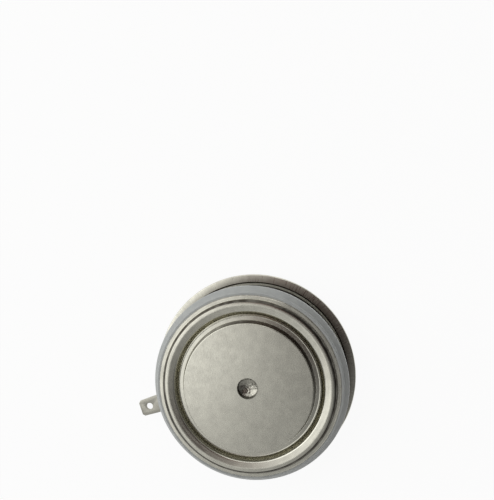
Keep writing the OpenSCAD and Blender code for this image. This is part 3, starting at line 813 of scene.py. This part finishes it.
def plain(name, light, dark, size, metal, rough, depth):
    """A material whose colour and sheen vary with one noise of a real grain size."""
    material, tree, place = new_material(name)
    grain = node(tree, "ShaderNodeTexNoise", {
        "Vector": place, "Scale": 1 / size, "Detail": 4.0, "Roughness": 0.6,
    })
    paler = node(tree, "ShaderNodeMapRange", [grain, *NOISE], interpolation_type="SMOOTHSTEP")
    sheen = node(tree, "ShaderNodeMapRange", [grain, *NOISE, rough, rough * 1.25],
                 interpolation_type="SMOOTHSTEP")
    shade = node(tree, "ShaderNodeMix", {
        SHARE: paler, FIRST: linear(dark), SECOND: linear(light),
    }, data_type="RGBA")
    shader = node(tree, "ShaderNodeBsdfPrincipled", {
        "Base Color": shade, "Metallic": metal, "Roughness": sheen,
        "Normal": node(tree, "ShaderNodeBump", {"Height": grain, "Distance": depth}),
    })
    node(tree, "ShaderNodeOutputMaterial", {"Surface": shader})
    return material


def molybdenum():
    """Lapped molybdenum: darker and bluer than nickel, matt from the lapping."""
    return plain("lapped_molybdenum", "8D9096", "777A80", 0.6 * MM, 1.0, 0.42, 0.004 * MM)


def silicon():
    """Polished silicon with a metal film: dark blue-grey and nearly mirror smooth."""
    return plain("polished_silicon", "4A4F5C", "3E4350", 4 * MM, 0.85, 0.12, 0.0005 * MM)


def silicone_rubber():
    """Cast silicone rubber: matt, milky and slightly soft at its edges."""
    return plain("cast_silicone_rubber", "DADAD4", "CDCDC6", 1.5 * MM, 0.0, 0.6, 0.01 * MM)


def fluoropolymer():
    """Turned fluoropolymer: white, waxy, with fine tool marks."""
    return plain("turned_fluoropolymer", "EDEDE8", "E0E0DA", 1 * MM, 0.0, 0.45, 0.006 * MM)


def silver_plating():
    """Silver plating on drawn wire: bright and slightly yellowed."""
    return plain("silver_plated_wire", "DDD8CC", "C6BFAE", 0.8 * MM, 1.0, 0.22, 0.002 * MM)


def spring_steel():
    """Drawn spring wire: smooth grey steel with faint drawing marks."""
    return plain("drawn_spring_steel", "A5A5A2", "8B8B88", 0.5 * MM, 1.0, 0.26, 0.002 * MM)


def base_name(kind):
    """Identifier of an operator of this add-on."""
    return f"{PREFIX}.{kind}"


_finishes = {}


def finish(maker):
    """A material of this add-on, made once."""
    if maker not in _finishes:
        _finishes[maker] = maker()
    return _finishes[maker]


# Pieces
CARRIED = (
    "anode_moly_disc", "silicon_wafer", "cathode_moly_disc", "edge_rubber", "centring_ring",
    "gate_contact_pin", "gate_insulator", "gate_lead", "lead_sleeve", "gate_tube", "tube_collar",
)
SLOT_FINISHES = {
    "plated_sheet": pressed_nickel, "molybdenum": molybdenum, "silicon": silicon,
    "silicone_rubber": silicone_rubber, "white_plastic": fluoropolymer,
    "contact_metal": silver_plating,
}


class THYRISTOR_OT_poles(bpy.types.Operator):
    """Turns the two copper poles with their shoulders and locating holes"""

    bl_idname = base_name("poles")
    bl_label = "Poles"

    def execute(self, context):
        pole = settings().poles
        at = places()
        nickel = finish(lapped_nickel)
        tip = pole.hole_radius / math.tan(pole.drill_angle / 2)
        foot = pole.contact_radius + pole.relief_width
        fallen = at["shoulder_top"] - pole.shoulder_fall
        top = turned_piece("top_pole_dressed", outline([
            (0, at["anode_face"], 0),
            (pole.boss_radius, at["anode_face"], pole.contact_edge),
            (pole.boss_radius, at["shoulder_foot"], 0),
            (at["shoulder_r"], at["shoulder_foot"], pole.contact_edge),
            (at["shoulder_r"], fallen + pole.burr_height, pole.shoulder_edge),
            (at["shoulder_r"] - pole.burr_width, fallen, pole.shoulder_edge),
            (foot, at["shoulder_top"], pole.contact_edge),
            (foot, at["shoulder_top"] - pole.relief_depth, 0),
            (pole.contact_radius, at["shoulder_top"] - pole.relief_depth, 0),
            (pole.contact_radius, at["top"], pole.contact_edge),
            (pole.hole_radius, at["top"], pole.hole_edge),
            (pole.hole_radius, at["top"] - pole.hole_depth, 0),
            (0, at["top"] - pole.hole_depth - tip, 0),
        ]), nickel, closed=False)
        finish_piece(top, "plated_copper", "top_pole")
        bottom = turned_piece("bottom_pole_dressed", outline([
            (0, pole.hole_depth + tip, 0),
            (pole.hole_radius, pole.hole_depth, 0),
            (pole.hole_radius, 0, pole.hole_edge),
            (pole.contact_radius, 0, pole.contact_edge),
            (pole.contact_radius, pole.lid_land_height, 0),
            (at["lid_shoulder_r"], pole.lid_land_height, pole.lid_shoulder_edge),
            (at["lid_shoulder_r"], at["lid_shoulder_in"], 0),
            (pole.boss_radius, at["lid_shoulder_in"], 0),
            (pole.boss_radius, at["cathode_face"], pole.contact_edge),
            (pole.gate_bore_radius, at["cathode_face"], 0),
            (pole.gate_bore_radius, at["cathode_face"] - pole.gate_bore_depth, 0),
            (0, at["cathode_face"] - pole.gate_bore_depth, 0),
        ]), nickel, closed=False)
        floor_z = at["cathode_face"] - pole.slot_depth
        slot = block("slot", (0, -pole.slot_half_width, floor_z),
                     (2 * pole.boss_radius, pole.slot_half_width, 2 * at["cathode_face"]))
        boolean(bottom, slot, "DIFFERENCE")
        settle(bottom, nickel)
        finish_piece(bottom, "plated_copper", "bottom_pole")
        return {"FINISHED"}


class THYRISTOR_OT_sheets(bpy.types.Operator):
    """Bends the upper diaphragm and the lid flange from sheet"""

    bl_idname = base_name("sheets")
    bl_label = "Sheet rings"

    def execute(self, context):
        sheet = settings().sheets
        rim = settings().rim
        at = places()
        nickel = finish(pressed_nickel)
        boss = settings().poles.boss_radius
        half = sheet.upper_thickness / 2
        flat = at["shoulder_foot"] - half
        lip = at["ceramic_top"] + half
        crown = high("top_diaphragm", "z") - half
        moat_r = at["shoulder_r"] + sheet.moat_width
        crown_in_r = moat_r + sheet.flank_width
        crown_out_r = crown_in_r + sheet.crown_width
        lip_in_r = crown_out_r + sheet.drop_width
        upper = turned_piece("top_diaphragm_dressed", sheet_section([
            (boss, flat, 0),
            (moat_r, flat, sheet.moat_round),
            (crown_in_r, crown - sheet.slope_drop, sheet.hill_in_round),
            (crown_in_r + sheet.slope_width, crown, sheet.slope_round),
            (crown_out_r, crown, sheet.hill_out_round),
            (lip_in_r, lip, sheet.lip_round),
            (at["lip_out_r"], lip, 0),
        ], sheet.upper_thickness, sheet.lip_edge), nickel)
        finish_piece(upper, "plated_sheet", "top_diaphragm")

        half = sheet.lid_thickness / 2
        bend_r = at["lid_shoulder_r"] + sheet.lid_moat_width
        hump_in_r = bend_r + sheet.lid_flank_width
        foot_r = at["pinch_in_r"] - sheet.lid_run_width
        hump_out_r = foot_r - sheet.lid_drop_width
        hump = sheet.hump_gap + half
        side = hump + sheet.hump_crown
        seam = at["seam"]
        path = [
            (boss, at["lid_shoulder_in"] + half, 0),
            (bend_r, at["lid_shoulder_in"] + half, sheet.lid_in_round),
            (hump_in_r, side, sheet.hump_in_round),
            ((hump_in_r + hump_out_r) / 2, hump, sheet.hump_round),
            (hump_out_r, side, sheet.hump_out_round),
            (foot_r, seam - half, sheet.lid_foot_round),
            (at["pinch_in_r"], seam - half, 0),
        ]
        edge = [
            (at["pinch_in_r"], seam - rim.pinch_thickness, 0),
            (at["pinch_out_r"], seam - rim.pinch_thickness, 0),
            (at["pinch_out_r"], seam - at["flange_t"], rim.nick),
            (at["rim_r"], seam - rim.edge_thickness, rim.rim_edge),
            (at["rim_r"], seam, rim.nick),
        ]
        section = lid_section(path, edge, sheet.lid_thickness)
        lid = turned_piece("lid_flange_dressed", section, finish(brushed_rim))
        finish_piece(lid, "plated_sheet", "lid_flange")
        return {"FINISHED"}


def lid_section(path, rim, thickness):
    """Section of the lid flange: its bent sheet runs on into the thick rim."""
    points = [Vector(corner[:2]) for corner in path]
    samples = [(points[0], Vector((0, 1)))]
    for i in range(1, len(path) - 1):
        samples += bend(points[i - 1], points[i], points[i + 1], path[i][2])
    samples.append((points[-1], Vector((0, 1))))
    under = [point - normal * thickness / 2 for point, normal in samples]
    over = [point + normal * thickness / 2 for point, normal in reversed(samples)]
    edge = outline([(*under[-1], 0), *rim, (*over[0], 0)])
    return under[:-1] + edge[:-1] + over


class THYRISTOR_OT_ceramic(bpy.types.Operator):
    """Turns the ceramic ring and drills the hole for the gate tube"""

    bl_idname = base_name("ceramic")
    bl_label = "Ceramic ring"

    def execute(self, context):
        rim = settings().rim
        at = places()
        inner = at["ceramic_r"] - rim.ceramic_wall
        inset = at["ceramic_r"] - rim.ceramic_chamfer
        soft = rim.ceramic_chamfer / 4
        rib_low = at["ceramic_top"] - rim.rib_drop - rim.rib_height / 2
        rib_high = rib_low + rim.rib_height
        alumina = finish(alumina_ceramic)
        ring = turned_piece("ceramic_ring_dressed", outline([
            (inner, at["ceramic_foot"], 0),
            (inset, at["ceramic_foot"], soft),
            (at["ceramic_r"], at["ceramic_foot"] + rim.ceramic_chamfer, soft),
            (at["ceramic_r"], rib_low - rim.rib_flank, rim.rib_foot_round),
            (at["rib_r"], rib_low, rim.rib_round),
            (at["rib_r"], rib_high, rim.rib_round),
            (at["ceramic_r"], rib_high + rim.rib_flank, rim.rib_foot_round),
            (at["ceramic_r"], at["ceramic_top"] - rim.ceramic_chamfer, soft),
            (inset, at["ceramic_top"], soft),
            (inner, at["ceramic_top"], 0),
        ]), alumina)
        drill = bar("drill", at["tube_r"], inner / 2, at["ceramic_r"] * 2, at["gate_z"])
        boolean(ring, drill, "DIFFERENCE")
        settle(ring, alumina)
        finish_piece(ring, "alumina", "ceramic_ring")
        return {"FINISHED"}


class THYRISTOR_OT_weld_flange(bpy.types.Operator):
    """Turns the weld flange and joins its stamped ear"""

    bl_idname = base_name("weld_flange")
    bl_label = "Weld flange and ear"

    def execute(self, context):
        rim = settings().rim
        sheet = settings().sheets
        at = places()
        nickel = finish(brushed_rim)
        inner = at["lid_shoulder_r"] + sheet.lid_moat_width + sheet.lid_flank_width + rim.weld_clearance
        seam = at["seam"]
        top = seam + at["flange_t"]
        ring = turned_piece("weld_flange_dressed", outline([
            (inner, seam, 0),
            (at["rim_r"], seam, rim.nick),
            (at["rim_r"], seam + rim.edge_thickness, rim.rim_edge),
            (at["pinch_out_r"], top, rim.nick),
            (at["pinch_out_r"], seam + rim.pinch_thickness, 0),
            (at["pinch_in_r"], seam + rim.pinch_thickness, 0),
            (at["pinch_in_r"], top, rim.nick),
            (inner, top, 0),
        ]), nickel)
        boolean(ring, ear(), "UNION")
        settle(ring, nickel)
        finish_piece(ring, "plated_sheet", "weld_flange")
        return {"FINISHED"}


def ear():
    """Stamped ear with clipped corners, a flared root and its hole."""
    rim = settings().rim
    at = places()
    half_w = rim.ear_width / 2
    half_tip = rim.ear_tip_width / 2
    wide = half_w + rim.ear_spread
    rim_r = at["rim_r"]
    half = [
        (at["pinch_out_r"] + rim.rim_edge, -wide, 0),
        (math.sqrt(rim_r ** 2 - wide ** 2), -wide, 0),
        (math.sqrt(rim_r ** 2 - half_w ** 2), -half_w, rim.ear_root_round),
        (at["ear_tip"] - rim.ear_clip, -half_tip, 0),
        (at["ear_tip"], -half_tip + rim.ear_clip, 0),
    ]
    edge = outline(half + [(x, -y, radius) for x, y, radius in reversed(half)])
    hole_x = at["ear_tip"] - rim.ear_hole_inset
    hole = [
        Vector((hole_x, 0)) + Vector((math.cos(turn), math.sin(turn))) * rim.ear_hole_radius
        for turn in (2 * math.pi * step / EAR_HOLE_STEPS for step in range(EAR_HOLE_STEPS))
    ]
    curve = bpy.data.curves.new("ear_outline", "CURVE")
    curve.dimensions = "2D"
    curve.fill_mode = "BOTH"
    for points in (edge, hole):
        spline = curve.splines.new("POLY")
        spline.points.add(len(points) - 1)
        spline.use_cyclic_u = True
        for point, place in zip(spline.points, points):
            point.co = (place.x, place.y, 0, 1)
    curve.extrude = rim.edge_thickness / 2 - rim.ear_edge
    curve.bevel_depth = rim.ear_edge
    curve.bevel_resolution = EAR_EDGE_STEPS
    curve.offset = -rim.ear_edge
    holder = bpy.data.objects.new("ear_outline", curve)
    bpy.context.scene.collection.objects.link(holder)
    mesh = evaluated_copy(holder)
    bpy.data.objects.remove(holder)
    mesh.transform(Matrix.Translation((0, 0, at["seam"] + rim.edge_thickness / 2)))
    work = bmesh.new()
    work.from_mesh(mesh)
    bmesh.ops.remove_doubles(work, verts=work.verts, dist=WELD_DISTANCE)
    bmesh.ops.recalc_face_normals(work, faces=work.faces)
    work.to_mesh(mesh)
    work.free()
    return new_object("ear", mesh)


class THYRISTOR_OT_inner_pieces(bpy.types.Operator):
    """Winds the gate spring and gives the carried-over solids their finishes"""

    bl_idname = base_name("inner_pieces")
    bl_label = "Inner pieces"

    def execute(self, context):
        gate = settings().gate
        foot, top = low("gate_spring", "z"), high("gate_spring", "z")
        mean = (high("gate_spring", "x") - low("gate_spring", "x")) / 2 - gate.spring_wire
        steel = finish(spring_steel)
        seed = bpy.data.meshes.new("spring_seed")
        seed.from_pydata([(0, 0, 0)], [], [])
        spring = new_object("gate_spring_dressed", seed)
        grow(spring, trees()["coil"], {
            "Turns": gate.spring_turns, "Rise": top - foot - 2 * gate.spring_wire, "Coil Radius": mean,
            "Wire Radius": gate.spring_wire, "Steps": COIL_STEPS, "Wire Steps": WIRE_STEPS,
            "Foot": (0.0, 0.0, foot + gate.spring_wire), "Finish": steel,
        })
        settle(spring, steel)
        finish_piece(spring, "spring_steel", "gate_spring")
        for name in CARRIED:
            for place in bpy.data.objects[name].material_slots:
                place.material = finish(SLOT_FINISHES[place.material.name])
        return {"FINISHED"}


# Camera, lamp and floor
SENSOR_WIDTH = 36.0
NEAREST = 0.01
LAMP_SIDE = 0.5
LAMP_RISE = 0.8
LAMP_DISTANCE = 0.6
WHITE = (1.0, 1.0, 1.0, 1.0)
# Zones of the studio, as cosines towards the key lamp or the picture's top
RISE_ZONE = (0.0, 0.1)
FALL_ZONE = (0.18, 0.35)
DIP_ZONE = (-0.42, -0.15)
LOW_ZONE = (-0.42, -0.35)
FOOT_ZONE = (-0.62, -0.45)
# Zones of the dark patch and its tint, as distances between directions
PATCH_ZONE = (0.35, 0.62)
TINT_ZONE = (0.2, 0.52)


class THYRISTOR_OT_stage(bpy.types.Operator):
    """Sets the camera, the soft light and the pale floor"""

    bl_idname = base_name("stage")
    bl_label = "Stage"

    def execute(self, context):
        studio = settings().studio
        scene = context.scene
        camera = bpy.data.cameras.new("camera")
        camera.lens = studio.lens
        camera.sensor_width = SENSOR_WIDTH
        camera.clip_start = NEAREST
        holder = bpy.data.objects.new("camera", camera)
        scene.collection.objects.link(holder)
        back = -Vector(studio.camera_forward).normalized()
        right = Vector(studio.camera_up).cross(back).normalized()
        up = back.cross(right)
        axes = Matrix((right, up, back)).transposed()
        holder.matrix_world = Matrix.Translation(studio.camera_place) @ axes.to_4x4()
        scene.camera = holder

        mesh = bpy.data.meshes.new("floor")
        half = studio.floor_size
        corners = [(-half, -half, 0), (half, -half, 0), (half, half, 0), (-half, half, 0)]
        mesh.from_pydata(corners, [], [(0, 1, 2, 3)])
        floor = new_object("floor", mesh)
        mesh.materials.append(floor_material())

        scene.world = studio_world()
        lamp = bpy.data.lights.new("key", "AREA")
        lamp.shape = "RECTANGLE"
        lamp.size = LAMP_SIDE
        lamp.size_y = LAMP_SIDE
        lamp.energy = studio.key_power
        holder = bpy.data.objects.new("key", lamp)
        scene.collection.objects.link(holder)
        towards = Vector((math.cos(studio.key_turn), math.sin(studio.key_turn), LAMP_RISE)).normalized()
        holder.location = towards * LAMP_DISTANCE
        holder.rotation_mode = "QUATERNION"
        holder.rotation_quaternion = towards.to_track_quat("Z", "Y")
        scene.view_settings.view_transform = "Standard"
        return {"FINISHED"}


def floor_material():
    """Matte painted board, shown nearly white while it keeps the shadow."""
    material, tree, place = new_material("matte_board")
    studio = settings().studio
    board = node(tree, "ShaderNodeBsdfDiffuse", {"Color": studio.floor_colour})
    glow = node(tree, "ShaderNodeEmission", {"Color": WHITE, "Strength": 1.0})
    path = node(tree, "ShaderNodeLightPath").outputs
    seen = 0.0
    for ray in ("Is Camera Ray", "Is Glossy Ray", "Is Transmission Ray"):
        seen = node(tree, "ShaderNodeMath", [seen, path[ray]], operation="MAXIMUM")
    share = node(tree, "ShaderNodeMath", [seen, studio.floor_lift], operation="MULTIPLY")
    both = node(tree, "ShaderNodeMixShader", [share, board, glow])
    node(tree, "ShaderNodeOutputMaterial", {"Surface": both})
    return material


def studio_world():
    """Soft studio: a pale wall towards the key lamp, a dim far side and a warm dark patch
    beside the camera, which the plating reflects."""
    world = bpy.data.worlds.new("studio")
    world.use_nodes = True
    tree = world.node_tree
    tree.nodes.clear()
    studio = settings().studio
    direction = node(tree, "ShaderNodeTexCoord").outputs["Generated"]
    key = (math.cos(studio.key_turn), math.sin(studio.key_turn), 0.0)
    facing = node(tree, "ShaderNodeVectorMath", [direction, key], operation="DOT_PRODUCT")
    along = node(tree, "ShaderNodeVectorMath", [direction, studio.camera_up], operation="DOT_PRODUCT")
    off = node(tree, "ShaderNodeVectorMath", [direction, studio.patch_place], operation="DISTANCE")
    wall = node(tree, "ShaderNodeMapRange", [
        along, *LOW_ZONE, studio.sky_rise * studio.sky_low, studio.sky_rise,
    ], interpolation_type="SMOOTHSTEP")
    level = studio.sky_mid
    for place, zone, start, end in (
        (facing, RISE_ZONE, 0.0, wall), (facing, FALL_ZONE, 0.0, -studio.sky_fall),
        (facing, DIP_ZONE, -studio.sky_dip, 0.0), (along, FOOT_ZONE, studio.sky_foot, 0.0),
    ):
        part = node(tree, "ShaderNodeMapRange", [place, *zone, start, end],
                    interpolation_type="SMOOTHSTEP")
        level = node(tree, "ShaderNodeMath", [level, part], operation="ADD")
    shade = node(tree, "ShaderNodeMapRange", [off, *PATCH_ZONE, 1 - studio.patch, 1.0],
                 interpolation_type="SMOOTHSTEP")
    level = node(tree, "ShaderNodeMath", [level, shade], operation="MULTIPLY")
    untinted = node(tree, "ShaderNodeMapRange", [off, *TINT_ZONE], interpolation_type="SMOOTHSTEP")
    tint = node(tree, "ShaderNodeMix", {SHARE: untinted, FIRST: studio.patch_tint, SECOND: WHITE},
                data_type="RGBA")
    sky = node(tree, "ShaderNodeBackground", {"Color": tint, "Strength": level})
    node(tree, "ShaderNodeOutputWorld", {"Surface": sky})
    return world


class ThyristorSettings(bpy.types.PropertyGroup):
    """All settings of the disc thyristor."""

    poles: PointerProperty(type=PoleSettings)
    sheets: PointerProperty(type=SheetSettings)
    rim: PointerProperty(type=RimSettings)
    gate: PointerProperty(type=GateSettings)
    finish: PointerProperty(type=FinishSettings)
    studio: PointerProperty(type=StudioSettings)


OPERATORS = (
    THYRISTOR_OT_stage, THYRISTOR_OT_poles, THYRISTOR_OT_sheets, THYRISTOR_OT_ceramic,
    THYRISTOR_OT_weld_flange, THYRISTOR_OT_inner_pieces,
)


class THYRISTOR_PT_panel(bpy.types.Panel):
    """Lists the steps of the disc thyristor"""

    bl_idname = "THYRISTOR_PT_panel"
    bl_label = "Disc Thyristor"
    bl_space_type = "VIEW_3D"
    bl_region_type = "UI"
    bl_category = "Thyristor"

    def draw(self, context):
        for step in OPERATORS:
            self.layout.operator(step.bl_idname)


CLASSES = (
    PoleSettings, SheetSettings, RimSettings, GateSettings, FinishSettings, StudioSettings,
    ThyristorSettings, *OPERATORS, THYRISTOR_PT_panel,
)


def register():
    """Registers the classes and the scene's settings."""
    for each in CLASSES:
        bpy.utils.register_class(each)
    bpy.types.Scene.thyristor = PointerProperty(type=ThyristorSettings)


def unregister():
    """Takes the settings and the classes away again."""
    del bpy.types.Scene.thyristor
    for each in reversed(CLASSES):
        bpy.utils.unregister_class(each)


def main():
    """Builds the whole scene."""
    register()
    for step in OPERATORS:
        getattr(getattr(bpy.ops, PREFIX), step.bl_idname.split(".")[1])()


if __name__ == "__main__":
    main()
